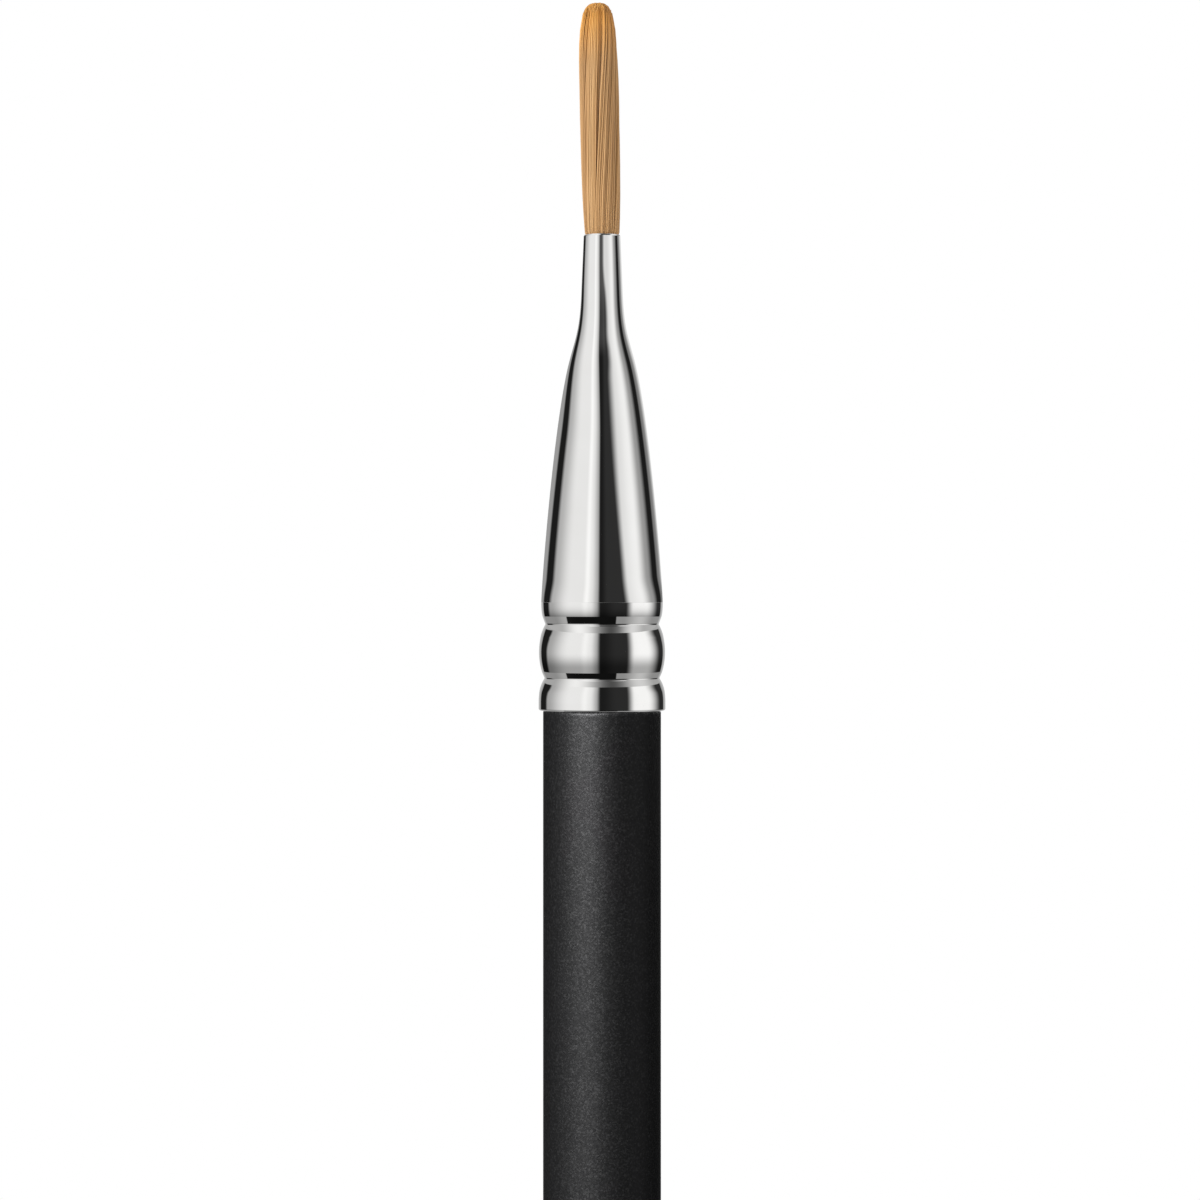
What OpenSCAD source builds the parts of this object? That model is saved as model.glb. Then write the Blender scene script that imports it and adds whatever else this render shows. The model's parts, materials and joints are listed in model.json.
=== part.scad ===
// Fine detail brush: a lacquered wooden handle, a plated brass ferrule and a round liner tuft.
// The axis is Z. The butt of the handle is at z = 0 and the point of the hair is at the top.
// Heights in the Ferrule section are measured from the ferrule's lower rim, and heights in the
// Hair section from the ferrule's mouth.

/* [Handle] */
// Length of the handle that shows, from the butt to the ferrule
handle_len = 137.6; // [110:0.1:180]
// Diameter of the straight grip, over the lacquer
handle_d = 6.4; // [6.2:0.05:6.5]
// Height at which the taper towards the butt begins
taper_top = 82; // [60:1:100]
// Diameter of the rounded butt, over the lacquer
butt_d = 4.2; // [3:0.1:6]
// Thickness of the lacquer, built up in several dipped coats
lacquer = 0.2; // [0.16:0.01:0.3]
// Diameter of the bare tenon that the ferrule grips
tenon_d = 5.6; // [5:0.05:5.64]
// Length of the tenon inside the ferrule
tenon_len = 11.4; // [9:0.1:13]

/* [Ferrule] */
// Length from the lower rim to the mouth
ferrule_len = 25.8; // [25:0.1:30]
// Radius of the lower rim, where the ferrule is widest
rim_r = 3.44; // [3.38:0.01:3.5]
// Radius of the long cone at its foot
cone_r = 3.3; // [3.25:0.01:3.35]
// Outer radius of the mouth
mouth_r = 0.99; // [0.97:0.01:1.05]
// Wall at the lower rim
wall_base = 0.28; // [0.22:0.01:0.3]
// Wall at the mouth, thinned by drawing
wall_mouth = 0.16; // [0.12:0.01:0.18]

/* [Hair] */
// Hair that shows beyond the mouth
hair_out = 12.6; // [12:0.1:16]
// Length of hair held inside the ferrule
hair_in = 9; // [8:0.1:10]
// Radius of the bundle inside the mouth
bundle_r = 0.82; // [0.7:0.01:0.82]
// Radius of the hair just above the mouth
heel_r = 0.95; // [0.9:0.01:1]
// Radius of the belly, where the tuft is fullest
belly_r = 1.1; // [1.06:0.01:1.15]
// Height above the mouth where the tuft bends forwards and backwards
root_flex = 2.8; // [2.6:0.1:3.2]
// Height above the mouth where the tuft's point bends to the sides
tip_flex = 7.8; // [7.2:0.1:8.4]

/* [Root fixings] */
// Thickness of the binding thread
thread_d = 0.2; // [0.15:0.01:0.22]
// Turns of thread round the hair root
thread_turns = 7; // [4:1:8]
// Depth of the cement plug, from its meniscus to the neck
cement_len = 6; // [5.4:0.1:6.4]

/* [Hidden] */
$fn = 96;
CURVE_STEPS = 24;
ARC_STEPS = 10;

handle_r = handle_d / 2;
butt_r = butt_d / 2;
tenon_r = tenon_d / 2;
mouth_z = handle_len + ferrule_len;

// Stations of the ferrule's outline: [radius, height above the lower rim].
rim_round = 0.16;
rim_top = [rim_r, 0.45];
low_groove = [3.143, 1.87];
bead_top = [3.42, 3.15];
high_groove = [3.094, 4.76];
cone_foot = [cone_r, 6];
shoulder = [1.76, 19];
shoulder_slope = 0.27;
neck_end = [1.125, 22.6];
mouth_round = 0.07;

// Fit of the parts that share the ferrule.
tenon_straight = 6.5;
tenon_end_r = 2.3;
tenon_chamfer = 0.4;
glue_top = 10.6;
cement_top = 21.6;
meniscus_r = 4;
meniscus_depth = 0.35;
thread_foot = 1.2;
thread_gap = 0.02;

// Where the tuft bends, a ball under the upper length of hair sits in a cup on the lower one.
cup_gap = 0.1;
heel_rise = 0.12;
tip_start = 10.2;
tip_r = 1.045;

// Points of the cubic Bezier curve a, b, c, d, without the first one.
function bezier(a, b, c, d, steps = CURVE_STEPS) = [
    for (i = [1:steps]) let (t = i / steps, u = 1 - t)
        u * u * u * a + 3 * u * u * t * b + 3 * u * t * t * c + t * t * t * d
];

// Points of the arc from a to b that leaves the widest end upright: at `crest`, 0 is a and 1 is b.
// Its radius is that of the circle whose centre is level with the crest.
function bulge(a, b, crest, steps = ARC_STEPS) =
    let (
        top = crest == 0 ? a : b,
        end = crest == 0 ? b : a,
        rise = end[1] - top[1],
        drop = top[0] - end[0],
        radius = (rise * rise + drop * drop) / (2 * drop),
        sweep = asin(rise / radius)
    )
    [
        for (i = [1:steps]) let (share = crest == 0 ? i / steps : 1 - i / steps)
            top + radius * [cos(sweep * share) - 1, sin(sweep * share)]
    ];

// Points of a quarter round of radius r about c, from angle a0 to a1, without the first one.
function round_corner(c, r, a0, a1, steps = 6) = [
    for (i = [1:steps]) let (a = a0 + (a1 - a0) * i / steps) c + r * [cos(a), sin(a)]
];

function between(points, low, high) = [for (p = points) if (p[1] >= low && p[1] <= high) p];
function raised(points, by) = [for (p = points) [p[0], p[1] + by]];
function reversed(points) = [for (i = [len(points) - 1:-1:0]) points[i]];

// The ferrule's outside above its rounded rim, as far as the mouth's rounding.
neck_slope = (neck_end[0] - mouth_r) / (ferrule_len - neck_end[1]);
outside = concat(
    [rim_top],
    bulge(rim_top, low_groove, 0),
    bulge(low_groove, bead_top, 1),
    bulge(bead_top, high_groove, 0),
    bulge(high_groove, cone_foot, 1),
    bezier(cone_foot, cone_foot + [-0.02, 1], shoulder + [shoulder_slope * 3, -3], shoulder),
    bezier(shoulder, shoulder + [-shoulder_slope * 1.35, 1.35],
           neck_end + [neck_slope * 1.85, -1.85], neck_end)
);

// The wall thins evenly from the rim to the mouth.
function wall_at(z) = wall_base + (wall_mouth - wall_base) * z / ferrule_len;
inner_rim_r = rim_r - wall_base;
inner_mouth_r = mouth_r - wall_mouth;
inside = concat(
    [[inner_rim_r, 0]],
    [for (p = outside) [p[0] - wall_at(p[1]), p[1]]],
    [[inner_mouth_r, ferrule_len]]
);
// The inside radius at height z, for cutting the glue and the cement to fit.
function inside_r(z) = lookup(z, [for (p = inside) [p[1], p[0]]]);

// Outline of the handle's shaft, set in by `inset` from the lacquered surface.
function shaft(inset) = concat(
    [[0, inset]],
    round_corner([0, butt_r], butt_r - inset, -90, 0, ARC_STEPS),
    bezier([butt_r - inset, butt_r], [butt_r + 0.25 - inset, butt_r + 28],
           [handle_r - inset, taper_top - 24], [handle_r - inset, taper_top]),
    [[handle_r - inset, handle_len]]
);

tenon = raised([
    [tenon_r, 0],
    [tenon_r, tenon_straight],
    [tenon_end_r, tenon_len - tenon_chamfer],
    [tenon_end_r - tenon_chamfer, tenon_len]
], handle_len);

// Turned birch: the shaft and the bare tenon above its shoulder.
module handle() {
    color("burlywood")
        rotate_extrude() polygon(concat(shaft(lacquer), tenon, [[0, handle_len + tenon_len]]));
}

// The matte black film over the shaft. It stops at the shoulder, under the ferrule's rim.
module lacquer_coat() {
    color([0.07, 0.07, 0.07])
        rotate_extrude() polygon(concat(shaft(0), reversed(shaft(lacquer))));
}

// One drawn tube: rolled rim, two beads with crimped grooves, a long cone and a narrow neck.
module ferrule() {
    rim = round_corner([rim_r - rim_round, rim_round], rim_round, -90, 0);
    mouth = round_corner([mouth_r - mouth_round, ferrule_len - mouth_round], mouth_round, 0, 90);
    color("silver") translate([0, 0, handle_len]) rotate_extrude()
        polygon(concat([[rim_r - rim_round, 0]], rim, outside, [[mouth_r, ferrule_len - mouth_round]],
                       mouth, reversed(inside)));
}

// Glue between the tenon and the ferrule. It fills the backs of the beads and the foot of the cone.
module handle_glue() {
    color("wheat") rotate_extrude() polygon(concat(
        raised(concat(between(inside, 0, glue_top), [[inside_r(glue_top), glue_top]]), handle_len),
        [[lookup(glue_top, [[tenon_straight, tenon_r], [tenon_len - tenon_chamfer, tenon_end_r]]),
          handle_len + glue_top], tenon[1], tenon[0]]
    ));
}

// Cement plug round the root of the hair, with a hollow meniscus underneath.
module root_cement() {
    foot = cement_top - cement_len;
    root_z = ferrule_len - hair_in;
    sleeve_r = bundle_r + thread_d + 2 * thread_gap;
    thread_room = thread_foot + (thread_turns + 1) * (thread_d + thread_gap);
    color("goldenrod") translate([0, 0, handle_len]) difference() {
        rotate_extrude() polygon(concat(
            [[0, foot], [inside_r(foot), foot]],
            between(inside, foot + 0.01, cement_top - 0.01),
            [[inside_r(cement_top), cement_top], [0, cement_top]]
        ));
        translate([0, 0, root_z]) cylinder(r = bundle_r, h = hair_in);
        translate([0, 0, root_z + thread_foot - thread_d])
            cylinder(r = sleeve_r, h = thread_room - thread_foot + 2 * thread_d);
        translate([0, 0, foot + meniscus_depth - meniscus_r]) sphere(r = meniscus_r);
    }
}

// A tube of radius r swept along a helix, as one closed solid.
module helix(helix_r, pitch, turns, r, sides = 6, steps = 16) {
    rings = turns * steps;
    points = [
        for (i = [0:rings], j = [0:sides - 1])
            let (turn = 360 * i / steps, around = 360 * j / sides, out = helix_r + r * cos(around))
            [out * cos(turn), out * sin(turn), pitch * i / steps + r * sin(around)]
    ];
    walls = [
        for (i = [0:rings - 1], j = [0:sides - 1])
            let (a = i * sides + j, b = i * sides + (j + 1) % sides)
            each [[a, a + sides, b + sides], [a, b + sides, b]]
    ];
    ends = [
        [for (j = [0:sides - 1]) j],
        [for (j = [sides - 1:-1:0]) rings * sides + j]
    ];
    polyhedron(points, concat(walls, ends));
}

// Thread wound round the hair root before it is cemented.
module binding_thread() {
    color("ivory") translate([0, 0, mouth_z - hair_in + thread_foot])
        helix(bundle_r + thread_gap + thread_d / 2, thread_d + thread_gap, thread_turns, thread_d / 2);
}

// Outline of the hair above the mouth: it flares over the rim, fills out, and rounds off bluntly.
hair_outline = concat(
    [[bundle_r, 0], [heel_r, heel_rise]],
    bezier([heel_r, heel_rise], [heel_r + 0.08, 2], [belly_r, 4], [belly_r, 6.5], 12),
    bezier([belly_r, 6.5], [belly_r, 7.8], [tip_r + 0.03, tip_start - 1], [tip_r, tip_start], 8),
    bezier([tip_r, tip_start], [tip_r - 0.04, tip_start + 1.5], [0.8, hair_out], [0, hair_out], 12)
);
function hair_r(h) = lookup(h, [for (p = hair_outline) [p[1], p[0]]]);

// Hair between two heights above the mouth.
module hair_between(low, high) {
    rotate_extrude() polygon(concat(
        [[0, low], [hair_r(low), low]],
        between(hair_outline, low + 0.01, high - 0.01),
        [[hair_r(high), high], [0, high]]
    ));
}

// A ball of hair at height h, or with a gap the cup that it turns in.
module flex_ball(h, gap = 0) {
    translate([0, 0, h]) sphere(r = hair_r(h) + gap);
}

// The fixed root of the tuft, from its cut ends in the cement to the first bend.
module tuft_heel() {
    color("peru") translate([0, 0, mouth_z]) difference() {
        union() {
            translate([0, 0, -hair_in]) cylinder(r = bundle_r, h = hair_in);
            hair_between(0, root_flex);
        }
        flex_ball(root_flex, cup_gap);
    }
}

// The fullest part of the tuft, from its ball in the heel to the cup under the point.
module tuft_belly() {
    color("peru") translate([0, 0, mouth_z]) difference() {
        union() {
            hair_between(root_flex, tip_flex);
            flex_ball(root_flex);
        }
        flex_ball(tip_flex, cup_gap);
    }
}

// The blunt point of the tuft.
module tuft_tip() {
    color("peru") translate([0, 0, mouth_z]) {
        hair_between(tip_flex, hair_out);
        flex_ball(tip_flex);
    }
}

handle();
lacquer_coat();
ferrule();
handle_glue();
root_cement();
binding_thread();
tuft_heel();
tuft_belly();
tuft_tip();
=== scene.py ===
"""A fine detail brush, upright: matte black handle, polished ferrule and golden liner tuft."""
import json
import math

import bpy
import numpy as np
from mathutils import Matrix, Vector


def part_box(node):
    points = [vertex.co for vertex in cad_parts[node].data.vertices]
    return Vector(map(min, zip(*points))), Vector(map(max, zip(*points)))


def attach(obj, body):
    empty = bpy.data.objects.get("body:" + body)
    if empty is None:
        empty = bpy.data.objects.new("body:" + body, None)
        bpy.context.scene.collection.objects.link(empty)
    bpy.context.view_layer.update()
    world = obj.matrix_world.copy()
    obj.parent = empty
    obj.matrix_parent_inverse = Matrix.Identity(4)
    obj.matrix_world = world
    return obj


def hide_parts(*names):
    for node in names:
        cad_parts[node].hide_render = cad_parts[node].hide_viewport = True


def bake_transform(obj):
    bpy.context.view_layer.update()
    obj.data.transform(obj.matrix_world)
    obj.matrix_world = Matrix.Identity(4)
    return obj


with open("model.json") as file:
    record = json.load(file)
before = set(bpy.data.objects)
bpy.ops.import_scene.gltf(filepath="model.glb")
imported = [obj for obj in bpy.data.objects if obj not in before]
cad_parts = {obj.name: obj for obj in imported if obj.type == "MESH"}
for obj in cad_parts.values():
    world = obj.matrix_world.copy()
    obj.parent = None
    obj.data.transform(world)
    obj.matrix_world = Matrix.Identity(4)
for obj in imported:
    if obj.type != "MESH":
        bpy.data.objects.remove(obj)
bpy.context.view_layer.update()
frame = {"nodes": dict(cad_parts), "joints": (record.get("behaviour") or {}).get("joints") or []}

MM = 0.001
rng = np.random.default_rng(7)


# ---------------------------------------------------------------- places taken from the frame

def top_of(node):
    """Height of a node's highest point, in millimetres."""
    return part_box(node)[1].z / MM


def foot_of(node):
    """Height of a node's lowest point, in millimetres."""
    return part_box(node)[0].z / MM


RIM_Z = foot_of("ferrule")
MOUTH_Z = top_of("ferrule")
TIP_Z = top_of("tuft_tip")
ROOT_Z = foot_of("tuft_heel")
HANDLE_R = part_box("lacquer_coat")[1].x / MM
FERRULE_LEN = MOUTH_Z - RIM_Z
HAIR_OUT = TIP_Z - MOUTH_Z
HAIR_IN = MOUTH_Z - ROOT_Z
BEND_Z = {joint["name"]: joint["pos_m"][2] / MM for joint in frame["joints"]}


# ---------------------------------------------------------------- outlines

def bezier(a, b, c, d, steps=40):
    """Cubic curve from a to d that leaves towards b and arrives from c, without its first point."""
    t = np.linspace(0, 1, steps + 1)[1:, None]
    a, b, c, d = (np.array(p, float) for p in (a, b, c, d))
    return (1 - t) ** 3 * a + 3 * (1 - t) ** 2 * t * b + 3 * (1 - t) * t ** 2 * c + t ** 3 * d


def crown(a, b, crest, steps=24):
    """Circular arc from a to b, upright at its widest end (0 for a, 1 for b), without its first point."""
    a, b = np.array(a, float), np.array(b, float)
    top, end = (a, b) if crest == 0 else (b, a)
    rise, drop = end[1] - top[1], top[0] - end[0]
    radius = (rise ** 2 + drop ** 2) / (2 * drop)
    share = np.linspace(0, 1, steps + 1)
    share = share if crest == 0 else share[::-1]
    angle = math.asin(rise / radius) * share[1:]
    return top + radius * np.stack([np.cos(angle) - 1, np.sin(angle)], 1)


def along(points):
    """Distance from the first point to each point of a line."""
    return np.concatenate([[0], np.cumsum(np.hypot(*np.diff(points, axis=0).T))])


def soften(points, step, width):
    """Points every `step` along a line, averaged over `width`, so that its corners become fillets.

    Past its two ends the line is taken to go on as its own mirror image, so the ends stay put.
    """
    length = along(points)
    even = np.arange(0, length[-1], step)
    line = np.stack([np.interp(even, length, points[:, k]) for k in (0, 1)], 1)
    reach = max(1, round(width / step / 2))
    kernel = np.hanning(2 * reach + 3)[1:-1]
    kernel /= kernel.sum()
    ends = np.concatenate([
        2 * line[0] - line[reach:0:-1], line, 2 * line[-1] - line[-2:-reach - 2:-1]
    ])
    return np.stack([np.convolve(ends[:, k], kernel, "valid") for k in (0, 1)], 1)


def spaced(line, spacing):
    """Points picked from a fine line so that the gap at height z is spacing(z)."""
    length = along(line)
    dense = np.cumsum(np.gradient(length) / spacing(line[:, 1]))
    wanted = np.linspace(dense[0], dense[-1], int(dense[-1] - dense[0]) + 2)
    where = np.interp(wanted, dense, length)
    return np.stack([np.interp(where, length, line[:, k]) for k in (0, 1)], 1)


# ---------------------------------------------------------------- meshes

def new_piece(name, points, faces, smooth=True):
    """A mesh object at the origin from points in millimetres and a list of faces."""
    mesh = bpy.data.meshes.new(name)
    mesh.from_pydata((np.asarray(points) * MM).tolist(), [], faces)
    mesh.polygons.foreach_set("use_smooth", np.full(len(mesh.polygons), smooth))
    mesh.validate()
    piece = bpy.data.objects.new(name, mesh)
    bpy.context.scene.collection.objects.link(piece)
    return piece


def ring_faces(rings, sides, closed):
    """Quads between each ring of `sides` points and the next, and from the last to the first if closed."""
    i = np.arange(rings if closed else rings - 1)[:, None]
    j = np.arange(sides)[None, :]
    a, b = i * sides + j, i * sides + (j + 1) % sides
    c, d = (b + sides) % (rings * sides), (a + sides) % (rings * sides)
    return np.stack([a, b, c, d], -1).reshape(-1, 4).tolist()


def turned(name, outline, sides, poles):
    """A solid of revolution: every point (r, z) of the outline goes round the axis as a ring.

    With poles, the outline's first and last points lie on the axis. Otherwise the outline is a
    closed section, run anticlockwise, and the solid is a tube.
    """
    ring = outline[1:-1] if poles else outline
    turn = np.linspace(0, 2 * math.pi, sides, endpoint=False)
    r, z = ring[:, :1], ring[:, 1:]
    points = np.stack([r * np.cos(turn), r * np.sin(turn), z + 0 * turn], -1).reshape(-1, 3)
    faces = ring_faces(len(ring), sides, closed=not poles)
    if poles:
        low, high = len(points), len(points) + 1
        points = np.concatenate([points, [[0, 0, outline[0, 1]], [0, 0, outline[-1, 1]]]])
        last = (len(ring) - 1) * sides
        faces += [[low, (j + 1) % sides, j] for j in range(sides)]
        faces += [[high, last + j, last + (j + 1) % sides] for j in range(sides)]
    return new_piece(name, points, faces)


# ---------------------------------------------------------------- ferrule

FILLET = 0.08


def ferrule_outline():
    """Closed section of the tube, in millimetres above the rim's foot and out from the axis.

    From the foot up: rolled rim, low bead, groove, high bead, groove, the foot of the cone, the cone,
    the neck and the rounded mouth; then the inner wall back down, one wall's thickness inside.
    """
    outside = np.concatenate([
        [[3.20, 0.0], [3.36, 0.0], [3.44, 0.07], [3.44, 0.45]],
        crown([3.44, 0.45], [3.40, 1.02], 0),
        bezier([3.40, 1.02], [3.36, 1.30], [3.245, 1.56], [3.11, 1.75], 16),
        [[3.245, 2.04]],
        crown([3.245, 2.04], [3.42, 3.15], 1),
        crown([3.42, 3.15], [3.345, 3.93], 0),
        bezier([3.345, 3.93], [3.30, 4.22], [3.18, 4.50], [3.07, 4.67], 16),
        [[3.238, 5.12]],
        bezier([3.238, 5.12], [3.272, 5.28], [3.30, 5.50], [3.30, 5.85], 16),
        bezier([3.30, 5.85], [3.28, 7.0], [2.59, 15.9], [1.76, 19.0]),
        bezier([1.76, 19.0], [1.395, 20.35], [1.205, 20.75], [1.125, 22.6]),
        [[0.995, FERRULE_LEN - 0.05]],
        [[0.950, FERRULE_LEN]],
    ])
    inside = np.array([
        [0.92, FERRULE_LEN - 0.01], [0.87, FERRULE_LEN - 0.05], [0.835, FERRULE_LEN - 0.16],
        [0.96, 22.6], [1.55, 19.0], [2.85, 8.0], [3.02, 5.9], [2.86, 4.7], [3.12, 3.15],
        [2.87, 1.8], [3.16, 0.4], [3.14, 0.0],
    ])
    fine = soften(outside, 0.01, FILLET)
    beaded, lipped = 6.4, FERRULE_LEN - 0.4
    detail = spaced(fine, lambda z: np.where((z < beaded) | (z > lipped), 0.032, 0.12))
    return np.concatenate([detail, inside]) + [0, RIM_Z]


ferrule = turned("polished_ferrule", ferrule_outline(), 144, poles=False)


# ---------------------------------------------------------------- handle

def handle_outline():
    """Half section of the lacquered handle: domed butt, long taper, straight grip, soft shoulder.

    The dome is a quarter circle, and the taper is one cubic curve, upright where it meets the grip.
    """
    butt_r, grip_foot = 2.1, 82.0
    dome = np.linspace(-math.pi / 2, 0, 24)
    return np.concatenate([
        np.stack([butt_r * np.cos(dome), butt_r * (1 + np.sin(dome))], 1),
        bezier([butt_r, butt_r], [butt_r + 0.25, butt_r + 28], [HANDLE_R, grip_foot - 24],
               [HANDLE_R, grip_foot], 60),
        [[HANDLE_R, z] for z in np.linspace(grip_foot + 5, RIM_Z - 0.25, 12)],
        [[HANDLE_R, RIM_Z - 0.12], [HANDLE_R - 0.015, RIM_Z - 0.05], [HANDLE_R - 0.06, RIM_Z - 0.01]],
        [[HANDLE_R - 0.15, RIM_Z]],
        [[3.02, RIM_Z], [0.0, RIM_Z]],
    ])


handle = turned("lacquered_handle", handle_outline(), 128, poles=True)


# ---------------------------------------------------------------- tuft

FILAMENTS = 900
LOCKS = 30
SIDES = 5
LEAN = -0.0195
BELLY_Z = 6.7
BELLY_R = 1.11
BLUNTNESS = 5.2
EDGE_ROOM = 0.040
SPLIT = (BEND_Z["tuft_bend"] + BEND_Z["tip_bend"]) / 2 - MOUTH_Z
GOLDEN_ANGLE = math.pi * (3 - math.sqrt(5))


def smooth(x, low, high):
    """0 below low, 1 above high, and an S-shaped rise between."""
    t = np.clip((x - low) / (high - low), 0, 1)
    return t * t * (3 - 2 * t)


def rounding(t):
    """Share of the tuft's full radius left at t, from 0 at the belly to 1 at the very point.

    It is the cube root of one less t to the power 5.2, with a slight straight taper.
    """
    return np.maximum(1 - t ** BLUNTNESS, 0) ** (1 / 3) * (1 - 0.03 * t)


def past_belly(h):
    """How far height h is from the belly to the point, from 0 to 1."""
    return np.clip((h - BELLY_Z) / (HAIR_OUT - BELLY_Z), 0, 1)


def bundle_radius(h):
    """Radius of the whole bundle at height h over the mouth, before its ends are cut round.

    Above the mouth it swells towards the belly as an exponential, and it closes in towards the point
    like the cut does, but stops short of closing, since the filaments end there side by side.
    """
    free = 0.95 + 0.16 * (1 - np.exp(-np.maximum(h, 0) / 2.5))
    radius = 0.81 + (free - 0.81) * smooth(h, -0.16, 0.12)
    t = past_belly(h)
    closing = rounding(np.minimum(t, 0.78)) - np.maximum(t - 0.78, 0)
    return radius * closing - EDGE_ROOM


def cut_radius(h):
    """Radius of the round point into which the ends are shaped."""
    return BELLY_R * rounding(past_belly(h))


def filament_ends(share):
    """Height where each filament, at a share of the bundle's radius, meets the round point."""
    h = np.linspace(BELLY_Z, HAIR_OUT, 400)
    ratio = np.minimum.accumulate(cut_radius(h) / bundle_radius(h))
    return np.interp(share, ratio[::-1], h[::-1])


number = np.arange(FILAMENTS)
share = np.sqrt((number + 0.5) / FILAMENTS)
angle = number * GOLDEN_ANGLE + rng.normal(0, 0.03, FILAMENTS)
lock_number = np.arange(LOCKS)
lock_share = np.sqrt((lock_number + 0.5) / LOCKS)
lock_angle = lock_number * GOLDEN_ANGLE + rng.normal(0, 0.15, LOCKS)
flat = np.exp(1j * angle) * share
lock_flat = np.exp(1j * lock_angle) * lock_share
lock = np.abs(flat[:, None] - lock_flat[None, :]).argmin(1)
lock_drift = 0.58 + rng.normal(0, 0.30, LOCKS)
lock_sink = rng.normal(0, 0.015, LOCKS)
lock_shade = rng.normal(0, 0.10, LOCKS)
to_lock = np.angle(np.exp(1j * (lock_angle[lock] - angle)))
drift = lock_drift[lock] + rng.normal(0, 0.03, FILAMENTS)
wave = rng.uniform(0, 2 * math.pi, FILAMENTS)
ends = filament_ends(share) - np.abs(rng.normal(0, 0.05, FILAMENTS))
shade = np.clip(0.5 + lock_shade[lock] + rng.normal(0, 0.07, FILAMENTS), 0, 1)


def filament_centres(h):
    """Centres of all filaments at heights h (filament by ring), as arrays of x, y and z.

    A filament keeps its share of the bundle's radius. Its angle is drawn towards the middle of its
    lock and drifts with it, more so towards the point, and it waves a little.
    """
    out = np.clip(h / HAIR_OUT, 0, 1)
    turn = (angle[:, None] + to_lock[:, None] * 0.07 * smooth(out, 0.02, 0.6)
            + drift[:, None] * out ** 1.2
            + 0.012 * np.sin(h * 1.1 + wave[:, None]) * smooth(out, 0, 0.2))
    sink = 1 - np.abs(lock_sink[lock])[:, None] * smooth(out, 0, 0.5) * share[:, None]
    radius = bundle_radius(h) * share[:, None] * sink
    x = radius * np.cos(turn) + LEAN * np.maximum(h, 0)
    y = radius * np.sin(turn) + 0.004 * np.maximum(h, 0)
    return x, y, h + MOUTH_Z


def filament_radius(h, end):
    """Half the thickness of a filament: finer where it is packed in the mouth, tapered at its end."""
    packed = 0.033 + 0.010 * smooth(h, -0.5, 2.0)
    return packed * (1 - 0.40 * smooth(h, end - 1.4, end))


def filament_piece(name, h, capped):
    """All filaments between their first and last heights in h (filament by ring), as tubes.

    Each ring is a small regular polygon about the filament's centre. The free end is capped: the
    first (0) or the last (1). The other end meets the next piece. Two attributes keep every
    filament's shade and each point's height, for the material.
    """
    x, y, z = filament_centres(h)
    r = filament_radius(h, ends[:, None])
    count, rings = h.shape
    side = 2 * math.pi * np.arange(SIDES) / SIDES
    points = np.stack([
        x[..., None] + r[..., None] * np.cos(side),
        y[..., None] + r[..., None] * np.sin(side),
        z[..., None] + 0 * side,
    ], -1).reshape(-1, 3)
    tube = np.array(ring_faces(rings, SIDES, closed=False))
    starts = np.arange(count)[:, None, None] * rings * SIDES
    cap = np.arange(SIDES)[::-1] if capped == 0 else np.arange((rings - 1) * SIDES, rings * SIDES)
    faces = (tube[None] + starts).reshape(-1, 4).tolist()
    cap_faces = (cap[None] + starts[:, :, 0]).tolist()
    piece = new_piece(name, points, faces + cap_faces)
    per_point = np.repeat(shade, rings * SIDES)
    height = np.repeat((h / HAIR_OUT).reshape(-1), SIDES)
    for label, values in (("shade", per_point), ("height", height)):
        piece.data.attributes.new(label, "FLOAT", "POINT").data.foreach_set("value", values)
    return piece


low_rings = np.array([-HAIR_IN, -0.5, -0.05, 0.12, 0.32, 1.0, 2.2, 3.7, SPLIT])
high_shares = np.array([0, 0.16, 0.32, 0.48, 0.62, 0.75, 0.86, 0.94, 1.0])
low_hair = filament_piece("lower_hair", np.tile(low_rings, (FILAMENTS, 1)), capped=0)
high_hair = filament_piece("upper_hair", SPLIT + high_shares * (ends[:, None] - SPLIT), capped=1)


# ---------------------------------------------------------------- materials

def new_material(name):
    """A named material, its node tree and its shader."""
    made = bpy.data.materials.new(name)
    made.use_nodes = True
    return made, made.node_tree, made.node_tree.nodes["Principled BSDF"]


def node(tree, kind, **settings):
    """A new node with some of its properties and, by name or number, its inputs set or linked."""
    made = tree.nodes.new("ShaderNode" + kind)
    inputs = settings.pop("inputs", {})
    for key, value in settings.items():
        setattr(made, key, value)
    for key, value in inputs.items():
        socket = made.inputs[key]
        if isinstance(value, bpy.types.NodeSocket):
            tree.links.new(value, socket)
        else:
            socket.default_value = value
    return made


def calc(tree, operation, a, b=0.0):
    """The result of a Math node."""
    return node(tree, "Math", operation=operation, inputs={0: a, 1: b}).outputs[0]


def fade(tree, value, low, high, start=0.0, end=1.0):
    """An S-shaped change from start to end while value goes from low to high."""
    made = node(tree, "MapRange", interpolation_type="SMOOTHSTEP", inputs={
        "Value": value, "From Min": low, "From Max": high, "To Min": start, "To Max": end})
    return made.outputs["Result"]


def ramp(tree, value, stops):
    """A colour ramp over value, with (place, colour) stops."""
    made = node(tree, "ValToRGB", inputs={0: value})
    band = made.color_ramp
    while len(band.elements) < len(stops):
        band.elements.new(0.5)
    for element, (place, colour) in zip(band.elements, stops):
        element.position = place
        element.color = (*colour, 1)
    return made.outputs["Color"]


def joined(tree, operation, *parts):
    """All the parts added or multiplied together, as the operation says."""
    whole = parts[0]
    for part in parts[1:]:
        whole = calc(tree, operation, whole, part)
    return whole


def between(tree, turn, left, right):
    """1 between two soft edges and 0 past them. Each edge is a pair of angles, the dark one first."""
    return calc(tree, "MULTIPLY", fade(tree, turn, *left), fade(tree, turn, *right))


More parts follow.
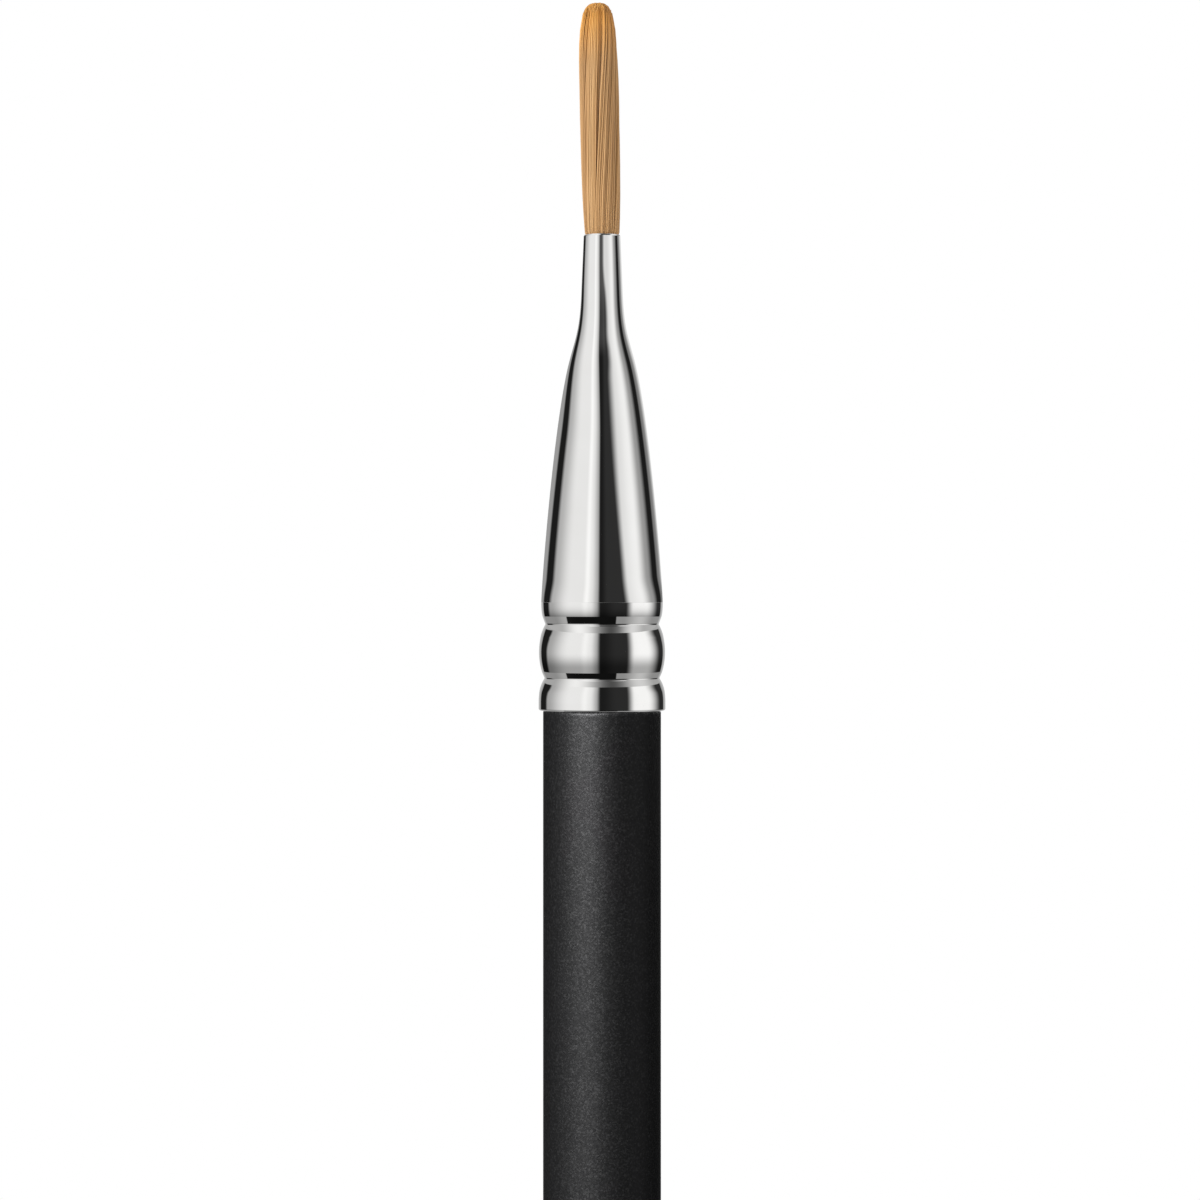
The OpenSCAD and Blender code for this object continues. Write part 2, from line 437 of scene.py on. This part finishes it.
def mound(tree, turn, middle, reach, height):
    """A soft mound of brightness over the turn: `height` in the middle, 0 from `reach` degrees off."""
    rise = between(tree, turn, (middle - reach, middle), (middle + reach, middle))
    return calc(tree, "MULTIPLY", rise, height)


def spots(tree, size):
    """Noise on the piece's own coordinates with grains of about `size` millimetres."""
    place = node(tree, "TexCoord").outputs["Object"]
    return node(tree, "TexNoise", inputs={
        "Vector": place, "Scale": 1 / (size * MM), "Detail": 2.0}).outputs["Fac"]


def bump(tree, height, depth_mm):
    """A bump whose full height is depth_mm."""
    return node(tree, "Bump", inputs={
        "Height": height, "Distance": depth_mm * MM, "Strength": 1.0}).outputs["Normal"]


def nickel():
    """Polished plate: a warm grey mirror with faint burnishing and a few hazy patches."""
    made, tree, shader = new_material("nickel")
    haze = fade(tree, spots(tree, 1.6), 0.45, 0.75, 0.02, 0.055)
    tree.links.new(haze, shader.inputs["Roughness"])
    tone = ramp(tree, spots(tree, 2.5), [(0.3, (0.90, 0.895, 0.88)), (0.7, (0.93, 0.925, 0.915))])
    tree.links.new(tone, shader.inputs["Base Color"])
    shader.inputs["Metallic"].default_value = 1.0
    return made


def black_lacquer():
    """Soft-touch black lacquer: dark pearl flakes in the film and a slightly pebbled surface."""
    made, tree, shader = new_material("black_lacquer")
    place = node(tree, "TexCoord").outputs["Object"]
    cells = node(tree, "TexVoronoi", inputs={"Vector": place, "Scale": 1 / (0.075 * MM)})
    flake = node(tree, "SeparateColor", inputs={0: cells.outputs["Color"]}).outputs[0]
    tree.links.new(ramp(tree, flake, [
        (0.0, (0.008, 0.008, 0.0082)), (0.75, (0.0100, 0.0100, 0.0102)), (1.0, (0.0150, 0.0150, 0.0153))
    ]), shader.inputs["Base Color"])
    tree.links.new(fade(tree, flake, 0.0, 1.0, 0.365, 0.425), shader.inputs["Roughness"])
    tree.links.new(bump(tree, spots(tree, 0.10), 0.0022), shader.inputs["Normal"])
    shader.inputs["Metallic"].default_value = 0.9
    shader.inputs["Specular IOR Level"].default_value = 0.1
    shader.inputs["Specular Tint"].default_value = (0.1, 0.1, 0.1, 1)
    return made


def golden_filament():
    """Tan synthetic filament: each one its own shade, orange towards the point, satin all over."""
    made, tree, shader = new_material("golden_filament")
    own = node(tree, "Attribute", attribute_name="shade").outputs["Fac"]
    height = node(tree, "Attribute", attribute_name="height").outputs["Fac"]
    body = ramp(tree, own, [
        (0.0, (0.27, 0.128, 0.040)), (0.5, (0.44, 0.255, 0.106)), (1.0, (0.60, 0.400, 0.205))])
    point = ramp(tree, own, [
        (0.0, (0.47, 0.20, 0.038)), (0.5, (0.60, 0.29, 0.057)), (1.0, (0.66, 0.36, 0.090))])
    warm = fade(tree, height, 0.70, 1.0)
    mixed = node(tree, "Mix", data_type="RGBA", inputs={0: warm, 6: body, 7: point})
    tree.links.new(mixed.outputs[2], shader.inputs["Base Color"])
    shader.inputs["Roughness"].default_value = 0.48
    shader.inputs["Specular IOR Level"].default_value = 0.6
    shader.inputs["Sheen Weight"].default_value = 0.22
    shader.inputs["Sheen Roughness"].default_value = 0.4
    return made


def turned_birch():
    """Bare birch: long pale grain along the handle with fine darker fibres."""
    made, tree, shader = new_material("turned_birch")
    place = node(tree, "TexCoord").outputs["Object"]
    stretched = node(tree, "Mapping", inputs={"Vector": place, "Scale": (1, 1, 0.06)}).outputs[0]
    grain = node(tree, "TexNoise", inputs={
        "Vector": stretched, "Scale": 1800.0, "Detail": 5.0}).outputs["Fac"]
    tree.links.new(ramp(tree, grain, [
        (0.3, (0.50, 0.34, 0.19)), (0.55, (0.66, 0.49, 0.31)), (0.8, (0.74, 0.58, 0.40))
    ]), shader.inputs["Base Color"])
    tree.links.new(bump(tree, grain, 0.01), shader.inputs["Normal"])
    shader.inputs["Roughness"].default_value = 0.62
    return made


def resin(name, light, dark, roughness):
    """Set glue or cement: amber, cloudy with trapped bubbles."""
    made, tree, shader = new_material(name)
    tree.links.new(ramp(tree, spots(tree, 0.6), [(0.35, dark), (0.7, light)]), shader.inputs["Base Color"])
    tree.links.new(bump(tree, spots(tree, 0.2), 0.01), shader.inputs["Normal"])
    shader.inputs["Roughness"].default_value = roughness
    return made


def waxed_thread():
    """Natural thread: pale, with slanting plies."""
    made, tree, shader = new_material("waxed_thread")
    place = node(tree, "TexCoord").outputs["Object"]
    plies = node(tree, "TexWave", bands_direction="DIAGONAL", inputs={
        "Vector": place, "Scale": 2600.0, "Distortion": 1.5, "Detail": 2.0}).outputs["Fac"]
    tree.links.new(ramp(tree, plies, [(0.0, (0.55, 0.49, 0.38)), (1.0, (0.82, 0.78, 0.68))]),
                   shader.inputs["Base Color"])
    tree.links.new(bump(tree, plies, 0.01), shader.inputs["Normal"])
    shader.inputs["Roughness"].default_value = 0.7
    return made


def studio_paper():
    """Pale matt paper for the floor, with a barely visible tooth, lit to plain white further out."""
    made, tree, shader = new_material("studio_paper")
    tree.links.new(ramp(tree, spots(tree, 0.8), [(0.3, (0.90, 0.90, 0.895)), (0.7, (0.93, 0.93, 0.925))]),
                   shader.inputs["Base Color"])
    shader.inputs["Roughness"].default_value = 0.9
    shader.inputs["Specular IOR Level"].default_value = 0.1
    place = node(tree, "TexCoord").outputs["Object"]
    reach = node(tree, "VectorMath", operation="LENGTH", inputs={0: place}).outputs["Value"]
    far = fade(tree, reach, 0.10, 0.45)
    white = node(tree, "Emission", inputs={"Color": (1, 1, 1, 1), "Strength": 1.0})
    both = node(tree, "MixShader", inputs={0: far, 1: shader.outputs[0], 2: white.outputs[0]})
    tree.links.new(both.outputs[0], tree.nodes["Material Output"].inputs["Surface"])
    return made


def dress(piece, material):
    """The piece's only material."""
    piece.data.materials.clear()
    piece.data.materials.append(material)


filament = golden_filament()
dress(ferrule, nickel())
dress(handle, black_lacquer())
dress(low_hair, filament)
dress(high_hair, filament)
dress(frame["nodes"]["handle"], turned_birch())
dress(frame["nodes"]["handle_glue"], resin("handle_glue", (0.66, 0.50, 0.26), (0.46, 0.30, 0.12), 0.35))
dress(frame["nodes"]["root_cement"], resin("root_cement", (0.52, 0.36, 0.15), (0.34, 0.20, 0.07), 0.2))
dress(frame["nodes"]["binding_thread"], waxed_thread())


# ---------------------------------------------------------------- what rides on what

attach(ferrule, "brush")
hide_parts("ferrule")
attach(handle, "brush")
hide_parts("lacquer_coat")
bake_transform(low_hair)
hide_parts("tuft_heel")
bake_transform(high_hair)
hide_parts("tuft_belly", "tuft_tip")


# ---------------------------------------------------------------- studio

def paper_floor(radius):
    """A flat round sheet of paper under the butt: rings round the middle, each wider than the last."""
    rings = radius * np.linspace(0, 1, 25)[1:] ** 2
    outline = np.concatenate([[[0, 0]], np.stack([rings, 0 * rings], 1), [[radius, -2.0], [0, -2.0]]])
    made = turned("paper_floor", outline[::-1], 96, poles=True)
    dress(made, studio_paper())
    return made


BLACK_CLOTH = 0.012


def surroundings():
    """The tent round the brush, painted by direction, and plain white where the camera looks past.

    The tent is laid out by the tilt of a surface that would mirror it to the camera: `across` is that
    surface's turn to the right and `up` its tilt to the top, in degrees. Two tall soft boxes stand
    left and right of the lens with the dark room between them and black flags outside them, and they
    lean together towards the top. Pale cloth hangs above, and grey cloth with a black flag below.
    Straight behind the brush hangs a plain grey cloth.
    """
    world = bpy.data.worlds.new("tent")
    bpy.context.scene.world = world
    world.use_nodes = True
    tree = world.node_tree
    tree.nodes.clear()
    way = node(tree, "SeparateXYZ", inputs={0: node(tree, "TexCoord").outputs["Generated"]}).outputs
    ahead = calc(tree, "SUBTRACT", 1.0, way["Y"])
    level = calc(tree, "SQRT", calc(tree, "ADD", calc(tree, "MULTIPLY", way["X"], way["X"]),
                                    calc(tree, "MULTIPLY", ahead, ahead)))
    across = calc(tree, "DEGREES", calc(tree, "ARCTAN2", way["X"], ahead))
    up = calc(tree, "DEGREES", calc(tree, "ARCTAN2", way["Z"], level))

    leaning = calc(tree, "DIVIDE", across, fade(tree, up, 0.0, 18.0, 1.0, 0.92))
    left_box = joined(
        tree, "MULTIPLY",
        between(tree, leaning, (-62.6, -58.2), (-1.4, -5.2)),
        fade(tree, leaning, -11.5, -3.0, 1.0, 0.4),
        joined(tree, "ADD", fade(tree, leaning, -58.0, -31.0, 0.38, 0.87),
               mound(tree, leaning, -16.0, 5.0, 0.10)))
    right_box = joined(
        tree, "MULTIPLY",
        fade(tree, across, 23.0, 31.5),
        fade(tree, leaning, 24.0, 38.0, 0.88, 0.98),
        fade(tree, leaning, 46.0, 66.0, 1.0, 0.0))
    room = fade(tree, across, 0.0, 14.0, 0.0, 0.013)
    front = joined(tree, "ADD", left_box, right_box, room, BLACK_CLOTH)
    front = calc(tree, "MULTIPLY", front, fade(tree, up, -14.0, 0.0, 0.42, 1.0))
    outer = calc(tree, "DIVIDE", across, fade(tree, up, 1.0, 14.0, 1.0, 0.97))
    outside = calc(tree, "ABSOLUTE", outer)
    sides = calc(tree, "ADD", fade(tree, outside, 73.2, 75.2, 0.0, 0.35),
                 fade(tree, outside, 78.0, 90.0, 0.0, 0.29))
    front = calc(tree, "MAXIMUM", front, sides)
    cloth_above = joined(
        tree, "ADD", 0.40, mound(tree, across, -26.0, 28.0, 0.53), mound(tree, across, 40.0, 22.0, 0.28),
        mound(tree, across, 9.0, 26.0, -0.32))
    cloth_below = joined(
        tree, "ADD", 0.28, mound(tree, across, -38.0, 14.0, 0.14), mound(tree, across, 40.0, 20.0, 0.26))
    flag = calc(tree, "ADD", fade(tree, across, -37.4, -36.2, 1.0, 0.01),
                fade(tree, across, 13.4, 14.6, 0.01, 1.0))
    cloth_below = calc(tree, "MULTIPLY", cloth_below, flag)
    floor_glow = fade(tree, up, -38.0, -28.0, 0.32, 0.0)
    cloth_below = calc(tree, "MAXIMUM", cloth_below, floor_glow)
    hem = calc(tree, "MULTIPLY", calc(tree, "MULTIPLY", across, across), 0.0007)
    above = fade(tree, calc(tree, "SUBTRACT", up, hem), 18.0, 19.2)
    below = fade(tree, up, -18.9, -18.1, 1.0, 0.0)
    tent = node(tree, "Mix", data_type="FLOAT", inputs={0: above, 2: front, 3: cloth_above}).outputs[0]
    tent = node(tree, "Mix", data_type="FLOAT", inputs={0: below, 2: tent, 3: cloth_below}).outputs[0]
    behind = fade(tree, way["Y"], 0.85, 0.97)
    tent = node(tree, "Mix", data_type="FLOAT", inputs={0: behind, 2: tent, 3: 0.52}).outputs[0]
    seen = node(tree, "LightPath").outputs["Is Camera Ray"]
    light = node(tree, "Mix", data_type="FLOAT", inputs={0: seen, 2: tent, 3: 1.0}).outputs[0]
    glow = node(tree, "Background", inputs={"Color": (1.0, 1.0, 1.0, 1), "Strength": light})
    out = node(tree, "OutputWorld")
    tree.links.new(glow.outputs[0], out.inputs["Surface"])


def glowing_paint(name):
    """A material with nothing in it yet, its tree, and its piece's turn and height to paint by.

    The turn goes round the axis, in degrees from the front to the right, and the height is in
    millimetres over the ferrule's rim.
    """
    paint = bpy.data.materials.new(name)
    paint.use_nodes = True
    tree = paint.node_tree
    tree.nodes.clear()
    place = node(tree, "SeparateXYZ", inputs={0: node(tree, "TexCoord").outputs["Object"]}).outputs
    ahead = calc(tree, "MULTIPLY", place["Y"], -1.0)
    turn = calc(tree, "DEGREES", calc(tree, "ARCTAN2", place["X"], ahead))
    height = calc(tree, "SUBTRACT", calc(tree, "DIVIDE", place["Z"], MM), RIM_Z)
    return paint, tree, turn, height


def hang_for_the_mirror(made, paint, light):
    """Gives a stage piece its paint, glowing by `light`. Nothing but a polished surface sees it."""
    tree = paint.node_tree
    glow = node(tree, "Emission", inputs={"Color": (1.0, 1.0, 1.0, 1), "Strength": light})
    out = node(tree, "OutputMaterial")
    tree.links.new(glow.outputs[0], out.inputs["Surface"])
    paint.cycles.emission_sampling = "NONE"
    dress(made, paint)
    made.visible_camera = False
    made.visible_diffuse = False
    made.visible_shadow = False
    made.visible_transmission = False


def light_sleeve(radius, foot, top):
    """A thin lit sleeve round the cone and the neck, for the plate to mirror.

    It is a cylinder about the axis. The soft boxes, the dark room between them, the black flags
    outside them and the pale cloth behind are laid out on it by their edges, in degrees. They drift
    with height, the way things close to the metal do: towards the neck the left box swings further
    round and the right box's near edge comes in and grows softer. The pale cloth's two ends are
    equally bright where they meet behind the cone.
    """
    outline = np.array([[radius, foot], [radius + 0.2, foot], [radius + 0.2, top], [radius, top]])
    made = turned("light_sleeve", outline, 96, poles=False)
    paint, tree, turn, height = glowing_paint("sleeve_light")

    spread = joined(tree, "ADD", 1.0, fade(tree, height, 6.0, 7.4, 0.07, 0.0),
                    fade(tree, height, 15.5, 24.5, 0.0, 0.34))
    shift = fade(tree, height, 15.5, 26.0, 0.0, -8.0)
    left = calc(tree, "DIVIDE", calc(tree, "SUBTRACT", turn, shift), spread)
    left_box = joined(
        tree, "MULTIPLY",
        between(tree, left, (-84.0, -73.0), (-2.5, -6.0)),
        fade(tree, left, -15.0, -3.5, 1.0, 0.42),
        joined(tree, "ADD", fade(tree, left, -74.0, -43.0, 0.46, 0.85),
               mound(tree, left, -19.5, 6.0, 0.17)))
    left_cloth = calc(tree, "ADD", fade(tree, left, -109.0, -100.0, 0.33, 0.0),
                      fade(tree, left, -140.0, -180.0, 0.0, 0.27))

    right = calc(tree, "DIVIDE", turn, fade(tree, height, 6.0, 7.6, 1.12, 1.0))
    room_end = joined(
        tree, "ADD", fade(tree, height, 3.5, 20.0, 28.5, 12.5), fade(tree, height, 5.0, 7.6, 3.0, 0.0),
        fade(tree, height, 19.4, 21.4, 0.0, 3.5), fade(tree, height, 22.0, 25.2, 0.0, -17.0))
    box_start = joined(
        tree, "ADD", room_end, 10.5, fade(tree, height, 9.0, 20.0, 0.0, 9.5),
        fade(tree, height, 22.0, 24.0, 0.0, -4.0))
    right_box = joined(
        tree, "MULTIPLY",
        fade(tree, turn, room_end, box_start),
        fade(tree, right, 22.0, 52.0, 0.70, 0.93),
        fade(tree, right, 52.0, 73.0, 1.0, 0.34),
        fade(tree, right, 73.0, 88.0, 1.0, 0.0))
    right_cloth = joined(
        tree, "ADD", fade(tree, right, 99.0, 108.0, 0.0, 0.20), fade(tree, right, 110.0, 140.0, 0.0, 0.54),
        fade(tree, right, 150.0, 180.0, 0.0, -0.14))

    room = between(tree, turn, (-1.0, 8.0), (40.0, 25.0))
    room = calc(tree, "MULTIPLY", room, 0.017)
    haze = joined(tree, "MULTIPLY", between(tree, turn, (-30.0, -14.0), (20.0, 6.0)),
                  fade(tree, height, 21.5, 24.0), 0.07)
    light = joined(tree, "ADD", left_box, left_cloth, right_box, right_cloth, room, haze, BLACK_CLOTH)
    hang_for_the_mirror(made, paint, light)


def sleeve_hem(low, high):
    """A flat cone of cloth from the sleeve's foot in towards the metal, between (radius, height) ends.

    The cone's foot mirrors only what is level with it, so the hem is edge on to it, and only the high
    bead's shoulder sees it. It carries on the soft boxes and the dark room between them.
    """
    thick = np.array([0.0, 0.004])
    made = turned("sleeve_hem", np.array([low, high, high + thick, low + thick]), 96, poles=False)
    paint, tree, turn, _ = glowing_paint("hem_light")
    cloth = joined(tree, "ADD", 0.45, mound(tree, turn, -33.0, 34.0, 0.50),
                   mound(tree, turn, 46.0, 24.0, 0.27), mound(tree, turn, 12.0, 34.0, -0.37))
    hang_for_the_mirror(made, paint, cloth)


def soft_light(name, place, size, power, tint=(1.0, 1.0, 1.0), only=(), shadow=True):
    """A square soft light at place, in millimetres, turned to the ferrule.

    Metal doesn't mirror it. It lights everything, or the pieces in `only`, and they do mirror it.
    """
    lamp = bpy.data.lights.new(name, "AREA")
    lamp.size = size * MM
    lamp.energy = power
    lamp.color = tint
    made = bpy.data.objects.new(name, lamp)
    bpy.context.scene.collection.objects.link(made)
    made.location = np.array(place) * MM
    look = np.array([0, 0, RIM_Z]) - np.array(place, float)
    flat_length = math.hypot(look[0], look[1])
    made.rotation_euler = (math.pi / 2 + math.atan2(look[2], flat_length), 0, math.atan2(-look[0], look[1]))
    made.visible_camera = False
    made.visible_glossy = bool(only)
    lamp.use_shadow = shadow
    if only:
        lit = bpy.data.collections.new(name + "_pieces")
        for piece in only:
            lit.objects.link(piece)
        made.light_linking.receiver_collection = lit


def upright_camera(distance, view_width, headroom):
    """A level camera in front of the brush, with the tuft's point just under the top of the frame."""
    lens = bpy.data.cameras.new("camera")
    lens.sensor_width = 36.0
    lens.lens = lens.sensor_width * distance / view_width
    lens.clip_start = 0.01
    lens.dof.use_dof = False
    made = bpy.data.objects.new("camera", lens)
    bpy.context.scene.collection.objects.link(made)
    made.location = np.array([-0.11, -distance, TIP_Z + headroom - view_width / 2]) * MM
    made.rotation_euler = (math.pi / 2, 0, 0)
    bpy.context.scene.camera = made


DAYLIGHT = (0.97, 1.0, 1.06)
LAMPLIGHT = (1.0, 0.80, 0.50)
SLEEVE_R = 5.5
SLEEVE_FOOT = RIM_Z + 5.90

floor = paper_floor(2500.0)
floor.visible_glossy = False
surroundings()
light_sleeve(SLEEVE_R, SLEEVE_FOOT, MOUTH_Z + 1.0)
sleeve_hem(np.array([3.95, SLEEVE_FOOT - 0.03]), np.array([SLEEVE_R + 0.22, SLEEVE_FOOT - 0.01]))
soft_light("key_light", [-600, -330, 300], 380, 7.2, tint=DAYLIGHT)
soft_light("hair_light", [420, -480, 260], 420, 1.7, tint=LAMPLIGHT, only=(low_hair, high_hair))
soft_light("handle_light", [-254, -377, 470], 520, 58.0, only=(handle,), shadow=False)
soft_light("handle_back_light", [228, 394, 470], 520, 58.0, only=(handle,), shadow=False)
upright_camera(distance=165.0, view_width=65.14, headroom=0.16)

scene = bpy.context.scene
scene.view_settings.view_transform = "Standard"
scene.view_settings.look = "None"
scene.cycles.use_denoising = True
scene.cycles.max_bounces = 8
